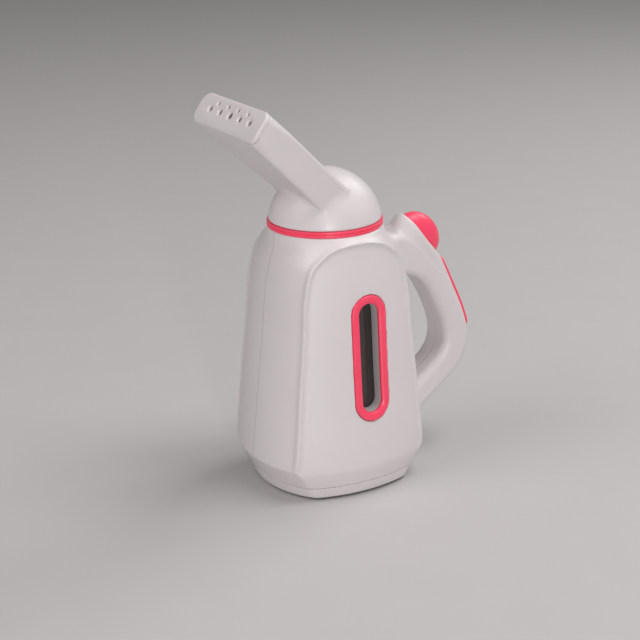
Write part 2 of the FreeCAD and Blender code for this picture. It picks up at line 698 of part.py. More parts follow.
def heating_element():
    """A U-shaped sheathed heater, standing through the plate and lying over it."""
    lift, reach, bend = 54.0, 18.0, 10.0
    points = [V(-bend, -18, 36), V(-bend, -18, lift - 6)]
    corner = [V(-bend, -18 + 6 * (1 - math.cos(math.radians(45))), lift - 6 + 6 * math.sin(math.radians(45)))]
    path = Part.Wire(
        [
            Part.LineSegment(points[0], points[1]).toShape(),
            Part.Arc(points[1], corner[0], V(-bend, -12, lift)).toShape(),
            Part.LineSegment(V(-bend, -12, lift), V(-bend, reach, lift)).toShape(),
            Part.Arc(V(-bend, reach, lift), V(0, reach + bend, lift), V(bend, reach, lift)).toShape(),
            Part.LineSegment(V(bend, reach, lift), V(bend, -12, lift)).toShape(),
            Part.Arc(V(bend, -12, lift), V(bend, corner[0].y, corner[0].z), V(bend, -18, lift - 6)).toShape(),
            Part.LineSegment(V(bend, -18, lift - 6), V(bend, -18, 36)).toShape(),
        ]
    )
    section = Part.Wire([Part.Circle(points[0], Z_AXIS, 3.2).toShape()])
    element = path.makePipeShell([section], True, True)
    for x in (-bend, bend):
        element = element.fuse(cylinder(4.0, 2.4, V(x, -18, 42.2), Z_AXIS))
        element = element.fuse(cylinder(1.2, 8.0, V(x, -18, 28.5), Z_AXIS))
    return element


def heater_screws():
    screws = []
    for x, y in heater_screw_points():
        head = cylinder(2.8, 2.0, V(x, y, 40.4), Z_AXIS)
        screws.append(head.fuse(cylinder(1.5, 6.4, V(x, y, HEATER_BOTTOM), Z_AXIS)))
    return Part.makeCompound(screws)


def thermostat():
    """Snap-disc thermostat on the heater plate, with its mounting ears and two tabs."""
    can = cylinder(8.0, 5.0, V(0, 12, 37.4), Z_AXIS)
    ears = box(-14, 14, 9.5, 14.5, 41.6, 42.4)
    base = cylinder(7.0, 6.0, V(0, 12, 31.4), Z_AXIS)
    tabs = box(-5.5, -4.7, 9, 15, 24.0, 31.4).fuse(box(4.7, 5.5, 9, 15, 24.0, 31.4))
    return can.fuse(ears).fuse(base).fuse(tabs)


def thermal_fuse():
    body = cylinder(2.6, 18.0, V(-9, -2.6, 39.8), X_AXIS)
    leads = cylinder(0.6, 30.0, V(-15, -2.6, 39.8), X_AXIS)
    return body.fuse(leads)


def terminal_block():
    block = box(-14, 14, -8, 6, 3.25, 15.25)
    for x in (-9.0, 0.0, 9.0):
        block = block.cut(cylinder(2.4, 8.0, V(x, -1, 9.5), Z_AXIS))
        block = block.cut(cylinder(1.6, 20.0, V(x, -10, 6.8), V(0, 1, 0)))
    return block


def micro_switch():
    """Snap-action switch under the button, with a hole for its plunger and three tabs."""
    body = box(-5.0, 5.0, -8.6, 8.6, SWITCH_BOTTOM, SWITCH_TOP)
    body = body.cut(cylinder(1.55, 6.5, V(0, 0, SWITCH_TOP - 6.0), Z_AXIS))
    for y in (-6.5, 0.0, 6.5):
        body = body.fuse(box(-2.4, 2.4, y - 0.4, y + 0.4, SWITCH_BOTTOM - 2.2, SWITCH_BOTTOM))
    return in_button_frame(body)


def switch_plunger():
    return in_button_frame(cylinder(1.5, 6.2, V(0, 0, STEM_END - 6.3), Z_AXIS))


def handle_strip(ease=0.0):
    """The coloured spine let into the back of the handle, below the button."""
    curve = Part.BSplineCurve()
    curve.interpolate([V(0, y, z) for y, z in HANDLE_OUTLINE])
    top = curve.parameter(V(0, 78.0, STRIP_TOP + ease))
    bottom = curve.parameter(V(0, 95.6, STRIP_BOTTOM - ease))
    proud, sunk = [], []
    for k in range(13):
        u = top + (bottom - top) * k / 12
        along_handle = curve.tangent(u)[0]
        outward = V(0, -along_handle.z, along_handle.y)
        proud.append(curve.value(u) + outward * (STRIP_PROUD + ease))
        sunk.append(curve.value(u) - outward * (STRIP_SUNK + ease))
    wire = Part.Wire(
        [
            spline_edge(proud),
            Part.LineSegment(proud[-1], sunk[-1]).toShape(),
            spline_edge(sunk),
            Part.LineSegment(sunk[0], proud[0]).toShape(),
        ]
    )
    return extruded(Part.Face(wire), STRIP_HALF_W + ease)


# ---------------------------------------------------------------- build and write
def build():
    os.makedirs("parts", exist_ok=True)
    shell = half_shell().cut(handle_strip(ease=0.05))
    write("housing_right", housing_half(shell, False))
    write("housing_left", mirrored(housing_half(shell, True)))
    write("housing_screws", housing_screws())
    write("handle_strip", handle_strip())
    write("neck_ring", neck_ring())
    for name, maker in (
        ("window_bezel", bezel),
        ("window_well", window_well),
        ("window_pane", window_pane),
    ):
        piece = maker()
        write(name + "_right", piece)
        write(name + "_left", mirrored(piece))
    write("power_button", power_button())
    write("micro_switch", micro_switch())
    write("switch_plunger", switch_plunger())
    write("water_tank", water_tank())
    write("heater_gasket", heater_gasket())
    write("heater_plate", heater_plate())
    write("heating_element", heating_element())
    write("heater_screws", heater_screws())
    write("thermostat", thermostat())
    write("thermal_fuse", thermal_fuse())
    write("terminal_block", terminal_block())
    write("cord_clamp", cord_clamp())
    write("clamp_screws", clamp_screws())
    write("cord_gland", cord_gland())
    write("base_cover", base_cover())
    write("base_screws", base_screws())
    write("rubber_feet", rubber_feet())
    write("head_shell", head_shell())
    write("steam_plate", steam_plate())
    write("steam_baffle", steam_baffle())
    write("head_seal", head_seal())


build()
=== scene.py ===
"""Looks for the handheld garment steamer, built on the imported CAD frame.

Lengths in the shape code are millimetres about the neck axis; MM and NECK_Y take them to the frame. The nozzle points
to -Y, the handle to +Y. Rows of outlines are (y, z) points in the symmetry plane.
"""

import math

import bpy
import numpy as np
from mathutils import Matrix, Vector


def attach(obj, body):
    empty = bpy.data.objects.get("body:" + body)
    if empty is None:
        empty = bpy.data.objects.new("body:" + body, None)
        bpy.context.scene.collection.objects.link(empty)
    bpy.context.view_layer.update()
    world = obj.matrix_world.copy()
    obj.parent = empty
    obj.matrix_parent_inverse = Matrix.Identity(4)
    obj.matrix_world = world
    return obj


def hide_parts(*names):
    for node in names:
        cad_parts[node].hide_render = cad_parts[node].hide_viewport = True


MM = 0.001
NECK_Y = -15.9

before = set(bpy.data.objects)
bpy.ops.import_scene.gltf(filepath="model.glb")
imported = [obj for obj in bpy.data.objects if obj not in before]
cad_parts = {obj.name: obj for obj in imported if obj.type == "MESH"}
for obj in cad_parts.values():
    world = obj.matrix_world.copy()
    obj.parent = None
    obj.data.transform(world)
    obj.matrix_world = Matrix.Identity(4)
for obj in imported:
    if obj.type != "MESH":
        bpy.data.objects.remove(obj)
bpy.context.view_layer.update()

# ---------------------------------------------------------------- dimensions (mm)
BASE_BOTTOM, BASE_TOP, CHAMFER_TOP, NECK_Z = 1.0, 8.0, 20.0, 158.3
# rows of height, half width across, half depth, and how far the egg's middle lies behind the neck axis
FOOT_FORM = [(1.0, 52.6, 44.8, 0.8), (BASE_TOP, 56.6, 47.3, 0.8), (CHAMFER_TOP, 65.2, 53.3, 0.8)]
BODY_FORM = [
    (CHAMFER_TOP, 65.2, 53.3, 0.8),
    (60.0, 63.1, 48.9, 0.8),
    (100.0, 60.5, 44.2, 0.8),
    (124.0, 58.6, 41.9, 0.8),
    (140.0, 54.3, 38.6, 0.8),
    (149.0, 44.7, 35.4, 0.6),
    (154.5, 37.6, 34.7, 0.2),
    (NECK_Z, 34.5, 34.3, 0.0),
]
# rows of height and the side panel's distance from the symmetry plane
SIDE_PANEL = [(1.0, 43.4), (BASE_TOP, 45.2), (CHAMFER_TOP, 48.4), (80.0, 44.4), (130.0, 40.7), (165.0, 36.0)]
SIDE_CROWN = 0.0058
EDGE_EASE = 1.4
RIDGE_H, RIDGE_IN, RIDGE_OUT = 1.7, 0.7, 1.7
RIDGE_FADE_Z, RIDGE_FADE = 14.0, 12.0
WALL, HEAD_WALL, DUCT_WALL = 2.6, 2.4, 2.2
RING_H, RING_R = 3.5, 34.5
HEAD_R, HEAD_CENTRE_Z = 34.0, 158.1
HEAD_Z = NECK_Z + RING_H + 0.2
NOZZLE_TILT, FACE_TILT = math.radians(43.3), math.radians(36.5)
FACE_Y, FACE_Z = -61.5, 229.7
FACE_HALF_W, FACE_HALF_H, FACE_CORNER = 38.7, 9.8, 6.0
DUCT_TAPER, DUCT_LENGTH = 0.171, 78.0
PLATE_TAPER, PLATE_T, PLATE_SETBACK = 0.17, 3.0, 0.7
HOLE_PITCH, LOWER_ROW_V, UPPER_ROW_V = 12.0, 0.6, 5.0
LOWER_HOLE_R, MIDDLE_HOLE_R, UPPER_HOLE_R = 1.5, 2.0, 0.9
WINDOW_Y, WINDOW_Z, BEZEL_W, BEZEL_H = 5.0, 85.2, 23.8, 76.5
SIGHT_W, WELL_DEPTH, PANE_T = 13.2, 8.5, 1.5
STRIP_HALF_W, STRIP_TOP, STRIP_BOTTOM = 9.9, 126.6, 79.0
STRIP_PROUD, STRIP_SUNK, STRIP_CORNER = 2.0, 1.1, 3.0
HANDLE_HALF_W, HANDLE_ROUND = 12.5, 5.0
HANDLE_OUTLINE = [
    (36.0, 148.0), (41.5, 146.6), (45.5, 147.5), (48.3, 150.1), (49.9, 153.0), (51.3, 155.6), (53.6, 156.5),
    (56.4, 153.2), (59.8, 148.8), (63.4, 144.1), (67.4, 138.9), (72.0, 133.2), (76.6, 127.0), (84.6, 110.5),
    (92.2, 93.8), (96.4, 81.0), (97.3, 72.0), (95.0, 61.5), (89.6, 53.2), (80.0, 44.4), (65.3, 33.0), (52.0, 23.5),
]
FINGER_OUTLINE = [
    (38.0, 121.0), (50.0, 120.6), (60.0, 116.4), (66.4, 108.8), (72.0, 98.4), (76.6, 88.0),
    (79.2, 78.0), (78.6, 69.6), (75.0, 62.8), (67.4, 55.8), (56.0, 47.6), (38.0, 38.0),
]
SCREWS_AT = [(76.0, 108.0), (88.4, 74.0), (66.0, 44.6)]
FEET_AT = [(sx * 24.0, sy * 27.0) for sx in (-1, 1) for sy in (-1, 1)]
BASE_SCREWS_AT = [
    (r * math.cos(math.radians(a)), r * math.sin(math.radians(a)))
    for r, a in ((37.6, 0.0), (41.6, -68.0), (37.6, 180.0), (41.6, 248.0))
]
SCREW_RECESS_R, SCREW_FLOOR_X = 3.0, -6.0
CLAMP_POSTS_AT = [(-8.0, 27.5), (8.0, 27.5)]
GLAND_Z = 15.5
BUTTON_Y, BUTTON_Z, BUTTON_TILT = 64.5, 139.9, math.radians(42.7)
BUTTON_HALF_L, BUTTON_HALF_W, BUTTON_H = 17.2, 9.8, 14.3
BUTTON_BOTTOM, POCKET_FLOOR = -0.2, -3.2
CUP_HALF_W, CUP_HALF_L, CUP_FLARE = 12.5, 20.0, 0.9


# ---------------------------------------------------------------- curves and the housing's form
def hermite(table, z, column):
    """The smooth curve through one column of a table whose first column is height."""
    zs = np.array([row[0] for row in table])
    vs = np.array([row[column] for row in table])
    slope = np.empty(len(zs))
    slope[1:-1] = (vs[2:] - vs[:-2]) / (zs[2:] - zs[:-2])
    slope[0] = (vs[1] - vs[0]) / (zs[1] - zs[0])
    slope[-1] = (vs[-1] - vs[-2]) / (zs[-1] - zs[-2])
    z = np.clip(z, zs[0], zs[-1])
    k = np.clip(np.searchsorted(zs, z, side="right") - 1, 0, len(zs) - 2)
    step = zs[k + 1] - zs[k]
    t = (z - zs[k]) / step
    start = (2 * t**3 - 3 * t**2 + 1) * vs[k] + (t**3 - 2 * t**2 + t) * step * slope[k]
    return start + (3 * t**2 - 2 * t**3) * vs[k + 1] + (t**3 - t**2) * step * slope[k + 1]


def form_value(z, column):
    """One column of the body's form at a height, foot or body."""
    return np.where(z < CHAMFER_TOP, hermite(FOOT_FORM, z, column), hermite(BODY_FORM, z, column))


def body_radius(angle, z, inset=0.0):
    """The body's outline: an egg cut by two crowned side panels, with a raised ridge along the cut outside."""
    c, s = np.abs(np.cos(angle)), np.sin(angle)
    egg = 1.0 / np.hypot(c / (form_value(z, 1) - inset), s / (form_value(z, 2) - inset))
    panel = hermite(SIDE_PANEL, z, 1) - inset
    side = 2 * panel / (c + np.sqrt(c * c + 4 * SIDE_CROWN * s * s * panel))
    ease = np.maximum(EDGE_EASE - np.abs(egg - side), 0.0) / EDGE_EASE
    over = egg - side
    eased = np.minimum(egg, side) - ease * ease * EDGE_EASE / 4
    if inset:
        return eased
    fade = np.clip((z - RIDGE_FADE_Z) / RIDGE_FADE, 0.0, 1.0)
    return eased + RIDGE_H * fade * np.exp(-((over / np.where(over > 0, RIDGE_IN, RIDGE_OUT)) ** 2))


def catmull(points, per=14):
    """A dense polyline through the points."""
    p = np.array(points, float)
    ends = np.vstack([2 * p[0] - p[1], p, 2 * p[-1] - p[-2]])
    t = np.linspace(0, 1, per, endpoint=False)[:, None]
    out = []
    for k in range(1, len(ends) - 2):
        a, b, c, d = ends[k - 1], ends[k], ends[k + 1], ends[k + 2]
        out.append(0.5 * (2 * b + (c - a) * t + (2 * a - 5 * b + 4 * c - d) * t**2 + (3 * b - a - 3 * c + d) * t**3))
    return np.vstack(out + [p[-1:]])


# ---------------------------------------------------------------- signed distances
def smooth_min(a, b, k):
    h = np.maximum(k - np.abs(a - b), 0.0) / k
    return np.minimum(a, b) - h * h * k / 4


def smooth_max(a, b, k):
    return -smooth_min(-a, -b, k)


def rounded_corner(a, b, r):
    """Inside both a and b, with the edge between them rounded to radius r."""
    a, b = a + r, b + r
    return np.minimum(np.maximum(a, b), 0) + np.hypot(np.maximum(a, 0), np.maximum(b, 0)) - r


def polygon_distance(poly, y, z):
    """Signed distance in the plane to a closed polygon, negative inside."""
    best = np.full(y.shape, 1e9)
    inside = np.zeros(y.shape, bool)
    for (y0, z0), (y1, z1) in zip(poly, np.roll(poly, -1, axis=0)):
        dy, dz = y1 - y0, z1 - z0
        t = np.clip(((y - y0) * dy + (z - z0) * dz) / max(dy * dy + dz * dz, 1e-9), 0, 1)
        best = np.minimum(best, (y - y0 - t * dy) ** 2 + (z - z0 - t * dz) ** 2)
        crosses = (z0 > z) != (z1 > z)
        if abs(dz) > 1e-9:
            inside ^= crosses & (y < (z - z0) * dy / dz + y0)
    return np.where(inside, -1.0, 1.0) * np.sqrt(best)


class PlaneField:
    """A plane distance field kept on a grid and read back bilinearly."""

    def __init__(self, poly, low, high, step=0.5):
        self.low, self.step = np.array(low, float), step
        ys = np.arange(low[0], high[0], step)
        zs = np.arange(low[1], high[1], step)
        gy, gz = np.meshgrid(ys, zs, indexing="ij")
        self.v = polygon_distance(poly, gy, gz)

    def __call__(self, y, z):
        u = np.clip((y - self.low[0]) / self.step, 0, self.v.shape[0] - 1.001)
        w = np.clip((z - self.low[1]) / self.step, 0, self.v.shape[1] - 1.001)
        i, j = u.astype(int), w.astype(int)
        a, b = u - i, w - j
        v = self.v
        return (v[i, j] * (1 - a) + v[i + 1, j] * a) * (1 - b) + (v[i, j + 1] * (1 - a) + v[i + 1, j + 1] * a) * b


def handle_fields():
    outer = catmull(HANDLE_OUTLINE)
    outer = np.vstack([outer, [[30.0, 23.5], [30.0, 148.0]]])
    inner = catmull(FINGER_OUTLINE)
    inner = np.vstack([inner, [[20.0, 38.0], [20.0, 121.0]]])
    low, high = (14.0, 10.0), (112.0, 170.0)
    return PlaneField(outer, low, high), PlaneField(inner, low, high)


HANDLE_OUT, HANDLE_IN = handle_fields()


def handle_distance(x, y, z):
    """The bent handle: its side view, run across and rounded along the long edges."""
    plane = smooth_max(HANDLE_OUT(y, z), -HANDLE_IN(y, z), 3.0)
    near_button = np.clip(1.6 - np.hypot(y - BUTTON_Y, z - BUTTON_Z) / 24.0, 0.0, 1.0)
    bar = rounded_corner(plane, np.abs(x) - HANDLE_HALF_W, HANDLE_ROUND - 1.2 * near_button)
    across, along, out = button_frame(x, y, z)
    flare = CUP_FLARE * np.maximum(-out - 6.0, 0.0)
    cup = oval_distance(across, np.minimum(along, 0.0), CUP_HALF_W + flare, CUP_HALF_L + flare)
    return smooth_max(bar, cup, 2.0)


def body_distance(x, y, z, inset=0.0):
    """Signed distance to the body's side wall, or to a wall inset from it."""
    y0 = y - form_value(z, 3)
    angle = np.arctan2(y0, np.abs(x))
    return (np.hypot(x, y0) - body_radius(angle, z, inset)) * 0.97


def stadium_distance(y, z, width, height):
    """The window's stadium shape, seen from the side."""
    r = width / 2
    dz = np.maximum(np.abs(z - WINDOW_Z) - (height / 2 - r), 0)
    return np.hypot(y - WINDOW_Y, dz) - r


def button_frame(x, y, z):
    """Across, along and out coordinates of the button's own frame."""
    dy, dz = y - BUTTON_Y, z - BUTTON_Z
    c, s = math.cos(BUTTON_TILT), math.sin(BUTTON_TILT)
    return x, dy * s - dz * c, dy * c + dz * s


def oval_distance(a, b, half_a, half_b):
    """Near enough the signed distance to an ellipse."""
    k = np.hypot(a / half_a, b / half_b)
    g = np.hypot(a / half_a**2, b / half_b**2)
    return k * (k - 1.0) / np.maximum(g, 1e-6)


def inlet_distance(x, y, z, radius, start, end):
    """A cylinder on the cord inlet's axis, low on the back."""
    return np.maximum(np.hypot(x, z - GLAND_Z) - radius, np.maximum(start - y, y - end))


def housing_distance(x, y, z):
    """Both housing halves as one wall: body, handle and inlet boss, with every opening cut."""
    outer = smooth_min(body_distance(x, y, z), handle_distance(x, y, z), 9.0)
    outer = smooth_min(outer, inlet_distance(x, y, z, 7.2, 44.0, 54.5), 1.5)
    outer = smooth_max(outer, z - NECK_Z, 1.2)
    outer = smooth_max(outer, BASE_TOP + 0.05 - z, 0.3)
    cavity = np.maximum(body_distance(x, y, z, WALL), z - NECK_Z + WALL)
    f = smooth_max(outer, -cavity, 0.5)
    window = np.maximum(stadium_distance(y, z, BEZEL_W + 0.5, BEZEL_H + 0.5), 20 - np.abs(x))
    f = smooth_max(f, -window, 0.5)
    neck = np.maximum(np.hypot(x, y) - 28.1, 140 - z)
    f = np.maximum(f, -neck)
    across, along, out = button_frame(x, y, z)
    pocket = np.maximum(oval_distance(across, along, BUTTON_HALF_W + 0.4, BUTTON_HALF_L + 0.3), POCKET_FLOOR - out)
    f = smooth_max(f, -pocket, 0.6)
    for sy, sz in SCREWS_AT:
        recess = np.maximum(np.hypot(y - sy, z - sz) - SCREW_RECESS_R, x - SCREW_FLOOR_X)
        f = smooth_max(f, -recess, 0.4)
    return np.maximum(f, -inlet_distance(x, y, z, 5.3, 40.0, 60.0))


def pillar(x, y, z, place, radius, low, high):
    """An upright cylinder."""
    return np.maximum(np.hypot(x - place[0], y - place[1]) - radius, np.maximum(low - z, z - high))


def base_distance(x, y, z):
    """The base cover: skirt and floor, the rim inside the housing, foot seats, screw bosses, clamp posts."""
    skirt = smooth_max(smooth_max(body_distance(x, y, z), BASE_BOTTOM - z, 1.2), z - BASE_TOP + 0.03, 0.3)
    f = smooth_max(skirt, -np.maximum(body_distance(x, y, z, 2.4), 3.2 - z), 0.5)
    rim = np.maximum(body_distance(x, y, z, 2.5), -body_distance(x, y, z, 4.3))
    f = np.minimum(f, smooth_max(np.maximum(rim, 3.0 - z), z - 12.0, 0.6))
    for place in FEET_AT:
        f = np.minimum(f, pillar(x, y, z, place, 7.8, BASE_BOTTOM, 4.0))
        f = smooth_max(f, -pillar(x, y, z, place, 6.1, -3.0, 2.4), 0.3)
    for place in CLAMP_POSTS_AT:
        f = np.minimum(f, pillar(x, y, z, place, 3.2, 3.0, 14.4))
        f = np.maximum(f, -pillar(x, y, z, place, 1.2, 6.0, 20.0))
    for place in BASE_SCREWS_AT:
        boss = np.maximum(pillar(x, y, z, place, 4.6, 1.5, 12.2), body_distance(x, y, z, 2.5))
        f = np.minimum(f, boss)
        recess = np.maximum(pillar(x, y, z, place, 3.25, -3.0, 3.5), body_distance(x, y, z, 1.2))
        f = smooth_max(f, -recess, 0.2)
        f = np.maximum(f, -pillar(x, y, z, place, 1.8, -3.0, 20.0))
    return np.maximum(f, -inlet_distance(x, y, z, 6.9, 35.0, 60.0))


def duct_distance(x, y, z, inset=0.0, front=0.0, back=DUCT_LENGTH):
    """The fan duct, narrowing away from the outlet face, or its inside."""
    dy, dz = y - FACE_Y, z - FACE_Z
    s = dy * math.cos(NOZZLE_TILT) - dz * math.sin(NOZZLE_TILT)
    v = dy * math.sin(NOZZLE_TILT) + dz * math.cos(NOZZLE_TILT)
    half_w = FACE_HALF_W - DUCT_TAPER * s - inset
    r = np.clip(FACE_CORNER - 0.2 * s, 2.0, FACE_CORNER) - inset
    tube = rounded_corner(np.abs(x) - half_w, np.abs(v) - FACE_HALF_H + inset, r)
    return np.maximum(np.maximum(tube, front - face_depth(y, z)), s - back)


def head_distance(x, y, z):
    """The head: a dome with the duct growing out of it, hollow, open below and at the outlet plate."""
    ball = np.sqrt(x * x + y * y + (z - HEAD_CENTRE_Z) ** 2) - HEAD_R
    outer = smooth_min(ball, duct_distance(x, y, z), 3.0)
    outer = smooth_max(outer, HEAD_Z - z, 1.0)
    hollow = np.minimum(ball + HEAD_WALL, duct_distance(x, y, z, DUCT_WALL, -2.0, DUCT_LENGTH - 6.0))
    f = smooth_max(outer, -hollow, 0.5)
    return np.maximum(f, PLATE_T + 0.04 - face_depth(y, z))


def plate_holes():
    """Centre across, centre up the face, and radius of each steam hole."""
    lower = [(HOLE_PITCH * k, LOWER_ROW_V, LOWER_HOLE_R if k else MIDDLE_HOLE_R) for k in (-2, -1, 0, 1, 2)]
    upper = [(HOLE_PITCH * k, UPPER_ROW_V, UPPER_HOLE_R) for k in (-1.5, -0.5, 0.5, 1.5)]
    return lower + upper


def plate_distance(x, y, z):
    """The outlet plate: softened edges, a gentle bulge with a shallow dish, and countersunk holes."""
    v = (y - FACE_Y) * math.sin(FACE_TILT) + (z - FACE_Z) * math.cos(FACE_TILT)
    depth = face_depth(y, z)
    outline = rounded_corner(
        np.abs(x) - FACE_HALF_W + PLATE_TAPER * depth, np.abs(v) - FACE_HALF_H, FACE_CORNER
    )
    bulge = 0.7 * (1 - np.clip(v / FACE_HALF_H, -1, 1) ** 2)
    dish = 0.5 * np.clip(1 - ((x / 31.0) ** 2 + (v / 7.0) ** 2), 0, 1)
    f = smooth_max(outline, PLATE_SETBACK - bulge + dish - depth, 1.2)
    f = np.maximum(f, depth - PLATE_T)
    for u0, v0, hole in plate_holes():
        radial = np.hypot(x - u0, v - v0)
        f = np.maximum(f, hole - radial)
        f = smooth_max(f, (hole + 1.0 - (depth - 0.2) * 0.9 - radial) * 0.74, 0.4)
    return f


def face_depth(y, z):
    """How far a point lies behind the outlet face."""
    return (y - FACE_Y) * math.cos(FACE_TILT) - (z - FACE_Z) * math.sin(FACE_TILT)


# ---------------------------------------------------------------- meshes
def pulled_onto(distance, verts, step, rounds=3, eps=0.05):
    """The vertices after a few limited steps along the gradient to the zero surface."""
    for _ in range(rounds):
        f = distance(*verts.T)
        g = np.stack([distance(*(verts + eps * e).T) - f for e in np.eye(3)], 1) / eps
        move = f[:, None] * g / np.maximum((g * g).sum(1), 0.25)[:, None]
        size = np.linalg.norm(move, axis=1, keepdims=True)
        verts = verts - move * np.minimum(1.0, 0.35 * step / np.maximum(size, 1e-9))
    return verts


def surface_net(distance, low, high, step):
    """A smooth quad mesh of the zero surface: one vertex per cell that it crosses, then pulled onto it."""
    axes = [np.arange(a, b + step, step) for a, b in zip(low, high)]
    grid = np.meshgrid(*axes, indexing="ij")
    v = distance(*grid)
    neg = v < 0
    n = [len(a) - 1 for a in axes]
    corner = [(i, j, k) for i in (0, 1) for j in (0, 1) for k in (0, 1)]

    def part(a, i, j, k):
        return a[i : i + n[0], j : j + n[1], k : k + n[2]]

    count = sum(part(neg, *c).astype(np.int8) for c in corner)
    active = (count > 0) & (count < 8)
    index = -np.ones(active.shape, int)
    index[active] = np.arange(active.sum())
    cells = np.argwhere(active)
    total = np.zeros((len(cells), 3))
    hits = np.zeros(len(cells))
    for a in corner:
        for axis in range(3):
            if a[axis]:
                continue
            b = list(a)
            b[axis] = 1
            ia, ib = cells + a, cells + b
            va, vb = v[tuple(ia.T)], v[tuple(ib.T)]
            cut = (va < 0) != (vb < 0)
            t = np.where(cut, va / np.where(cut, va - vb, 1.0), 0.0)
            point = ia.astype(float)
            point[:, axis] += t
            total[cut] += point[cut]
            hits[cut] += 1
    verts = total / hits[:, None] * step + np.array(low, float)
    verts = pulled_onto(distance, verts, step)
    faces = []
    for axis in range(3):
        u, w = (axis + 1) % 3, (axis + 2) % 3
        lower = np.take(neg, range(0, neg.shape[axis] - 1), axis)
        upper = np.take(neg, range(1, neg.shape[axis]), axis)
        edge = np.argwhere(lower != upper)
        edge = edge[(edge[:, u] > 0) & (edge[:, w] > 0) & (edge[:, u] < n[u]) & (edge[:, w] < n[w])]
        quad = []
        for du, dw in ((1, 1), (0, 1), (0, 0), (1, 0)):
            c = edge.copy()
            c[:, u] -= du
            c[:, w] -= dw
            quad.append(index[tuple(c.T)])
        quad = np.array(quad).T
        flip = ~lower[tuple(edge.T)]
        quad[flip] = quad[flip][:, ::-1]
        faces.append(quad)
    return verts, np.vstack(faces)


def make(name, verts, faces, body, slot, material, replaces=(), smooth_angle=40):
    """A piece of the model: vertices in millimetres about the neck axis."""
    v = (np.asarray(verts, float) + [0, NECK_Y, 0]) * MM
    mesh = bpy.data.meshes.new(name)
    mesh.from_pydata(v.tolist(), [], [tuple(int(i) for i in f) for f in faces])
    mesh.validate()
    mesh.update()
    obj = bpy.data.objects.new(name, mesh)
    bpy.context.collection.objects.link(obj)
    mesh.shade_smooth()
    if smooth_angle < 180:
        mesh.set_sharp_from_angle(angle=math.radians(smooth_angle))
    mesh.materials.append(material)
    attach(obj, body)
    if replaces:
        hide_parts(*replaces)
    return obj


def grid_faces(rows, cols, wrap_rows=False):
    """The quads of a grid of vertices whose every row is a closed ring."""
    faces = []
    for i in range(rows if wrap_rows else rows - 1):
        for j in range(cols):
            a, b = i * cols + j, i * cols + (j + 1) % cols
            c, d = ((i + 1) % rows) * cols + (j + 1) % cols, ((i + 1) % rows) * cols + j
            faces.append((a, b, c, d))
    return faces


def revolve(profile, segments=160):
    """A closed (r, z) profile turned about the neck axis."""
    verts = []
    for r, z in profile:
        for k in range(segments):
            a = 2 * math.pi * k / segments
            verts.append((r * math.cos(a), r * math.sin(a), z))
    return np.array(verts), grid_faces(len(profile), segments, wrap_rows=True)


def rounded_loop(corners, radius, per=5):
    """A closed polygon with its corners rounded."""
    out = []
    pts = [np.array(c, float) for c in corners]
    for k, p in enumerate(pts):
        a, b = pts[k - 1] - p, pts[(k + 1) % len(pts)] - p
        la, lb = np.linalg.norm(a), np.linalg.norm(b)
        r = min(radius, 0.45 * la, 0.45 * lb)
        start, end = p + a / la * r, p + b / lb * r
        for t in np.linspace(0, 1, per):
            out.append((1 - t) ** 2 * start + 2 * t * (1 - t) * p + t * t * end)
    return np.array(out)


# ---------------------------------------------------------------- materials
def node_tree(name):
    """A new material, its nodes and its shader."""
    m = bpy.data.materials.new(name)
    m.use_nodes = True
    nt = m.node_tree
    return m, nt, nt.nodes["Principled BSDF"]


def noise(nt, scale, detail, coords):
    """A noise texture's value."""
    n = nt.nodes.new("ShaderNodeTexNoise")
    n.inputs["Scale"].default_value = scale
    n.inputs["Detail"].default_value = detail
    nt.links.new(coords, n.inputs["Vector"])
    return n.outputs["Fac"]


def mapped(nt, value, low, high):
    """Noise spread over low to high."""
    n = nt.nodes.new("ShaderNodeMapRange")
    n.inputs["From Min"].default_value = 0.3
    n.inputs["From Max"].default_value = 0.7
    n.inputs["To Min"].default_value = low
    n.inputs["To Max"].default_value = high
    nt.links.new(value, n.inputs["Value"])
    return n.outputs["Result"]


def tinted(nt, value, dark, light):
    """A colour between dark and light."""
    n = nt.nodes.new("ShaderNodeMix")
    n.data_type = "RGBA"
    n.inputs[6].default_value = (*dark, 1)
    n.inputs[7].default_value = (*light, 1)
    nt.links.new(value, n.inputs[0])
    return n.outputs[2]


def surface(name, color, rough, spread=0.05, bump=0.1, grain=900.0, metallic=0.0, shade=0.035, **sockets):
    """A moulded, pressed or turned surface: broad tone drift, roughness drift and a fine grain."""
    m, nt, b = node_tree(name)
    coords = nt.nodes.new("ShaderNodeTexCoord").outputs["Object"]
    broad = noise(nt, 22.0, 3.0, coords)
    fine = noise(nt, grain, 4.0, coords)
    dark = tuple(c * (1 - shade) for c in color)
    light = tuple(min(1.0, c * (1 + shade)) for c in color)
    nt.links.new(tinted(nt, mapped(nt, broad, 0.0, 1.0), dark, light), b.inputs["Base Color"])
    nt.links.new(mapped(nt, noise(nt, 60.0, 4.0, coords), rough - spread, rough + spread), b.inputs["Roughness"])
    b.inputs["Metallic"].default_value = metallic
    for key, value in sockets.items():
        b.inputs[key.replace("_", " ")].default_value = value
    n = nt.nodes.new("ShaderNodeBump")
    n.inputs["Strength"].default_value = bump
    n.inputs["Distance"].default_value = 0.0002
    nt.links.new(fine, n.inputs["Height"])
    nt.links.new(n.outputs["Normal"], b.inputs["Normal"])
    return m


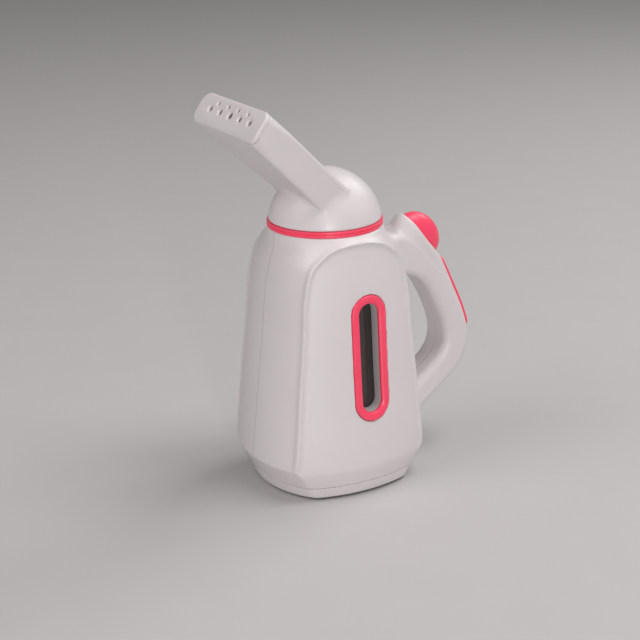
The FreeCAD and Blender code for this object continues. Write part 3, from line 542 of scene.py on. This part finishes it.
def parting_line(material):
    """A fine darker line where the two halves meet, on the plane x = 0."""
    nt = material.node_tree
    b = nt.nodes["Principled BSDF"]
    coords = nt.nodes.new("ShaderNodeTexCoord").outputs["Object"]
    split = nt.nodes.new("ShaderNodeSeparateXYZ")
    nt.links.new(coords, split.inputs[0])
    size = nt.nodes.new("ShaderNodeMath")
    size.operation = "ABSOLUTE"
    nt.links.new(split.outputs["X"], size.inputs[0])
    band = nt.nodes.new("ShaderNodeMapRange")
    band.inputs["From Min"].default_value = 0.00012
    band.inputs["From Max"].default_value = 0.0003
    nt.links.new(size.outputs[0], band.inputs["Value"])
    mix = nt.nodes.new("ShaderNodeMix")
    mix.data_type = "RGBA"
    mix.inputs[6].default_value = (0.42, 0.38, 0.38, 1)
    nt.links.new(band.outputs["Result"], mix.inputs[0])
    nt.links.new(b.inputs["Base Color"].links[0].from_socket, mix.inputs[7])
    nt.links.new(mix.outputs[2], b.inputs["Base Color"])
    return material


SHELL_COLOR, SHELL_ROUGH = (0.70, 0.655, 0.66), 0.38
WHITE = surface("white_plastic", SHELL_COLOR, SHELL_ROUGH, bump=0.06, shade=0.012)
HALVES = parting_line(surface("white_halves", SHELL_COLOR, SHELL_ROUGH, bump=0.06, shade=0.012))
CORAL = surface("coral_plastic", (1.0, 0.066, 0.14), 0.33, bump=0.08, shade=0.03)
GREY = surface("well_plastic", (0.52, 0.50, 0.50), 0.45)
DARK = surface("black_plastic", (0.02, 0.02, 0.022), 0.5)
RUBBER = surface("black_rubber", (0.018, 0.018, 0.019), 0.75, bump=0.3, grain=500.0)
SILICONE = surface("silicone", (0.55, 0.54, 0.52), 0.6)
STEEL = surface("brushed_steel", (0.56, 0.56, 0.57), 0.32, metallic=1.0, bump=0.12)
ZINC = surface("zinc_steel", (0.60, 0.60, 0.62), 0.38, metallic=1.0)
SHEATH = surface("heater_sheath", (0.30, 0.28, 0.27), 0.42, metallic=1.0, shade=0.12)
CERAMIC = surface("terminal_plastic", (0.72, 0.70, 0.65), 0.55)
CLEAR = surface("clear_pane", (0.32, 0.29, 0.27), 0.07, spread=0.02, bump=0.01, Transmission_Weight=0.9, IOR=1.49)
TANK = surface("clear_tank", (0.42, 0.43, 0.44), 0.16, spread=0.03, bump=0.02, Transmission_Weight=0.8, IOR=1.49)

# ---------------------------------------------------------------- housing, head, outlet plate
verts, faces = surface_net(housing_distance, (-51, -55, 6), (51, 101, 161), 0.85)
make("housing_skin", verts, faces, "body", "shell_white", HALVES, ("housing_left", "housing_right"), 50)
verts, faces = surface_net(head_distance, (-42, -72, 160), (42, 37, 242), 0.7)
make("head_skin", verts, faces, "head", "shell_white", WHITE, ("head_shell",), 50)
verts, faces = surface_net(plate_distance, (-42, -70, 216), (42, -50, 240), 0.4)
make("steam_plate_skin", verts, faces, "head", "shell_white", WHITE, ("steam_plate",), 50)


# ---------------------------------------------------------------- window
def panel_x(y, z):
    """How far out the side panel lies."""
    return hermite(SIDE_PANEL, z, 1) - SIDE_CROWN * (y - form_value(z, 3)) ** 2


def slot_sweep(profile, side):
    """A closed (offset, height) profile swept round the window's slot, standing on the side panel."""
    straight = (BEZEL_H - BEZEL_W) / 2
    arc_steps, side_steps = 32, 24
    path = []
    for end in (1, -1):
        for k in range(arc_steps + 1):
            a = math.pi * k / arc_steps
            path.append((end * straight, end * math.cos(a), end * math.sin(a)))
        for k in range(1, side_steps):
            path.append((end * straight * (1 - 2 * k / side_steps), -end, 0.0))
    verts = []
    for dz, ny, nz in path:
        for offset, height in profile:
            y, z = WINDOW_Y + ny * offset, WINDOW_Z + dz + nz * offset
            verts.append((side * (float(panel_x(y, z)) + height), y, z))
    faces = grid_faces(len(path), len(profile), wrap_rows=True)
    return np.array(verts), faces if side < 0 else [f[::-1] for f in faces]


def pane(side):
    """The pane at the bottom of the well: a slab that follows the side panel."""
    straight, r = (BEZEL_H - BEZEL_W) / 2, SIGHT_W / 2 + 1.2
    rows, cols = 60, 14
    verts, faces = [], []
    for depth in (-WELL_DEPTH, -WELL_DEPTH - PANE_T):
        for i in range(rows + 1):
            z = WINDOW_Z + (straight + r) * math.sin(math.pi * (i / rows - 0.5))
            over = max(abs(z - WINDOW_Z) - straight, 0.0)
            half = math.sqrt(max(r * r - over * over, 0.01))
            for j in range(cols + 1):
                y = WINDOW_Y + half * (2 * j / cols - 1)
                verts.append((side * (float(panel_x(y, z)) + depth), y, z))
    layer = (rows + 1) * (cols + 1)
    for i in range(rows):
        for j in range(cols):
            a = i * (cols + 1) + j
            quad = (a, a + 1, a + cols + 2, a + cols + 1)
            faces.append(quad)
            faces.append(tuple(layer + v for v in quad[::-1]))
    rim = [j for j in range(cols)] + [i * (cols + 1) + cols for i in range(rows)]
    rim += [rows * (cols + 1) + j for j in range(cols, 0, -1)] + [i * (cols + 1) for i in range(rows, 0, -1)]
    for a, b in zip(rim, rim[1:] + rim[:1]):
        faces.append((b, a, a + layer, b + layer))
    return np.array(verts), faces if side > 0 else [f[::-1] for f in faces]


inner, outer, floor_at = SIGHT_W / 2, BEZEL_W / 2, -WELL_DEPTH + 0.1
BEZEL_PROFILE = rounded_loop(
    [(inner + 0.3, -2.6), (inner, -0.6), (inner + 1.6, 0.55), (outer - 0.5, 0.7), (outer, -0.4), (outer, -2.6)], 0.7
)
WELL_PROFILE = rounded_loop(
    [(inner + 0.35, -1.9), (inner + 1.9, -1.9), (inner + 1.9, floor_at), (inner - 0.3, floor_at)], 0.25
)
for side, tag in ((1, "right"), (-1, "left")):
    make("bezel_" + tag, *slot_sweep(BEZEL_PROFILE, side), "body", "accent_coral", CORAL, ("window_bezel_" + tag,))
    make("well_" + tag, *slot_sweep(WELL_PROFILE, side), "body", "well_grey", GREY, ("window_well_" + tag,))
    make("pane_" + tag, *pane(side), "body", "clear_plastic", CLEAR, ("window_pane_" + tag,))

# ---------------------------------------------------------------- trim ring, base, button, strip
RING_BORE, GROOVE_R = 29.0, RING_R - 0.5
RING_SECTION = [
    (RING_BORE, 0.0), (RING_R, 0.0), (RING_R, 1.45), (GROOVE_R, 1.55),
    (GROOVE_R, 1.95), (RING_R, 2.05), (RING_R, RING_H), (RING_BORE, RING_H),
]
ring_profile = rounded_loop([(r, NECK_Z + z) for r, z in RING_SECTION], 0.35)
make("ring_skin", *revolve(ring_profile), "body", "accent_coral", CORAL, ("neck_ring",))

verts, faces = surface_net(base_distance, (-50, -56, 0), (50, 58, 15.5), 0.75)
make("base_skin", verts, faces, "body", "shell_white", WHITE, ("base_cover",), 40)


def button_point(across, along, out):
    """A point given in the button's own frame."""
    c, s = math.cos(BUTTON_TILT), math.sin(BUTTON_TILT)
    return across, BUTTON_Y + along * s + out * c, BUTTON_Z - along * c + out * s


def button_skin():
    """The domed thumb button: a cushion-shaped crown with a flat underside."""
    levels = []
    for k in range(1, 24):
        a = math.pi / 2 * k / 24
        levels.append((math.sin(a) ** 0.98, BUTTON_H * math.cos(a)))
    levels += [(1.0, 0.1)] + [(share, BUTTON_BOTTOM) for share in (0.985, 0.84, 0.7, 0.3)]
    cols, verts = 96, [button_point(0, 0, BUTTON_H)]
    for share, out in levels:
        for k in range(cols):
            a = 2 * math.pi * k / cols
            verts.append(button_point(share * BUTTON_HALF_W * math.cos(a), share * BUTTON_HALF_L * math.sin(a), out))
    faces = [(0, 1 + k, 1 + (k + 1) % cols) for k in range(cols)]
    faces += [tuple(1 + v for v in f) for f in grid_faces(len(levels), cols)]
    last = 1 + (len(levels) - 1) * cols
    verts.append(button_point(0, 0, BUTTON_BOTTOM))
    faces += [(last + (k + 1) % cols, last + k, len(verts) - 1) for k in range(cols)]
    return np.array(verts), faces


make("button_skin", *button_skin(), "button", "accent_coral", CORAL, ("power_button",))


def strip_skin():
    """The coloured spine down the back of the handle, with rounded ends and rolled edges."""
    line = catmull(HANDLE_OUTLINE, 40)
    line = line[(line[:, 0] > 70) & (line[:, 1] < STRIP_TOP) & (line[:, 1] > STRIP_BOTTOM)]
    run = np.gradient(line, axis=0)
    run /= np.linalg.norm(run, axis=1, keepdims=True)
    out = np.stack([-run[:, 1], run[:, 0]], 1)
    length = np.concatenate([[0], np.cumsum(np.linalg.norm(np.diff(line, axis=0), axis=1))])
    share = 0.5 - 0.5 * np.cos(np.linspace(0, math.pi, 61))
    at = share * length[-1]
    line = np.stack([np.interp(at, length, line[:, i]) for i in (0, 1)], 1)
    out = np.stack([np.interp(at, length, out[:, i]) for i in (0, 1)], 1)
    from_end = np.minimum(at, length[-1] - at)
    corner = (1 - from_end / STRIP_CORNER).clip(0)
    half = STRIP_HALF_W - STRIP_CORNER * (1 - np.sqrt(np.clip(1 - corner**2, 0, 1)))
    cols, verts = 17, []
    for p, n, w, edge in zip(line, out, half, from_end):
        lift = STRIP_PROUD * min(1.0, edge / 1.0) ** 0.5
        for j in range(cols):
            u = w * math.sin(math.pi / 2 * (2 * j / (cols - 1) - 1))
            fall = lift * math.sqrt(max(0.0, 1 - abs(u / w) ** 6)) if w > 0.01 else 0.0
            verts.append((u, p[0] + n[0] * fall, p[1] + n[1] * fall))
        for j in range(cols - 2, 0, -1):
            u = w * math.sin(math.pi / 2 * (2 * j / (cols - 1) - 1))
            verts.append((u, p[0] - n[0] * STRIP_SUNK, p[1] - n[1] * STRIP_SUNK))
    ring = 2 * cols - 2
    faces = grid_faces(len(line), ring)
    faces.append(tuple(range(ring)))
    faces.append(tuple(reversed(range((len(line) - 1) * ring, len(line) * ring))))
    return np.array(verts), faces


make("strip_skin", *strip_skin(), "body", "accent_coral", CORAL, ("handle_strip",))

NODE_MATERIALS = [
    (ZINC, "housing_screws base_screws heater_screws clamp_screws"),
    (CORAL, "handle_strip neck_ring window_bezel_right window_bezel_left power_button switch_plunger"),
    (GREY, "window_well_right window_well_left"),
    (CLEAR, "window_pane_right window_pane_left"),
    (DARK, "micro_switch cord_clamp"),
    (TANK, "water_tank"),
    (SILICONE, "heater_gasket head_seal"),
    (STEEL, "heater_plate thermostat"),
    (SHEATH, "heating_element"),
    (CERAMIC, "thermal_fuse terminal_block"),
    (RUBBER, "cord_gland rubber_feet"),
    (WHITE, "base_cover steam_plate steam_baffle head_shell"),
    (HALVES, "housing_left housing_right"),
]
for material, names in NODE_MATERIALS:
    for name in names.split():
        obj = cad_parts[name]
        obj.data.materials.clear()
        obj.data.materials.append(material)

# ---------------------------------------------------------------- room, light, camera
FLOOR = surface("floor_paper", (0.52, 0.507, 0.503), 0.7, bump=0.05, grain=300.0, shade=0.01)
bpy.ops.mesh.primitive_plane_add(size=6, location=(0, 0, -0.0002))
floor = bpy.context.object
floor.name = "floor"
floor.data.materials.append(FLOOR)


def area_light(name, place, target, size, power, color=(1, 1, 1)):
    """A soft rectangular light that faces its target."""
    data = bpy.data.lights.new(name, "AREA")
    data.shape = "RECTANGLE"
    data.size, data.size_y = size
    data.energy = power
    data.color = color
    obj = bpy.data.objects.new(name, data)
    obj.location = place
    obj.rotation_euler = (Vector(target) - Vector(place)).to_track_quat("-Z", "Y").to_euler()
    bpy.context.collection.objects.link(obj)


area_light("front", (0.0, -1.45, 1.3), (0, 0, 0.12), (1.0, 1.0), 9.5, (1.0, 0.975, 0.965))
area_light("key", (0.45, 0.5, 1.7), (0, 0, 0.12), (0.9, 0.9), 14.5, (1.0, 0.975, 0.98))
area_light("edge", (1.3, -0.5, 0.22), (0, 0, 0.1), (0.1, 0.4), 6.5)
area_light("rear", (-0.3, 1.4, 1.3), (0, 0, 0.12), (0.8, 0.8), 9)
world = bpy.data.worlds.new("studio")
world.use_nodes = True
world.node_tree.nodes["Background"].inputs["Color"].default_value = (1.0, 0.975, 0.975, 1)
world.node_tree.nodes["Background"].inputs["Strength"].default_value = 0.25
bpy.context.scene.world = world
bpy.context.scene.view_settings.view_transform = "Standard"

AZIMUTH, ELEVATION, ROLL = math.radians(60.4), math.radians(18.9), math.radians(-0.9)
DISTANCE, SENSOR_W, FOCAL_WIDTHS = 1.0, 36.0, 1656.3 / 640
TARGET = Vector((0, (-4.3 + NECK_Y) * MM, 98.1 * MM))
back = Vector((math.sin(AZIMUTH) * math.cos(ELEVATION), -math.cos(AZIMUTH) * math.cos(ELEVATION), math.sin(ELEVATION)))
level = Vector((math.cos(AZIMUTH), math.sin(AZIMUTH), 0.0))
upright = back.cross(level)
right = level * math.cos(ROLL) + upright * math.sin(ROLL)
up = upright * math.cos(ROLL) - level * math.sin(ROLL)
cam = bpy.data.objects.new("camera", bpy.data.cameras.new("camera"))
cam.matrix_world = Matrix((right, up, back)).transposed().to_4x4()
cam.location = TARGET + back * DISTANCE
cam.data.sensor_width = SENSOR_W
cam.data.lens = FOCAL_WIDTHS * SENSOR_W
cam.data.clip_start = 0.01
bpy.context.collection.objects.link(cam)
bpy.context.scene.camera = cam
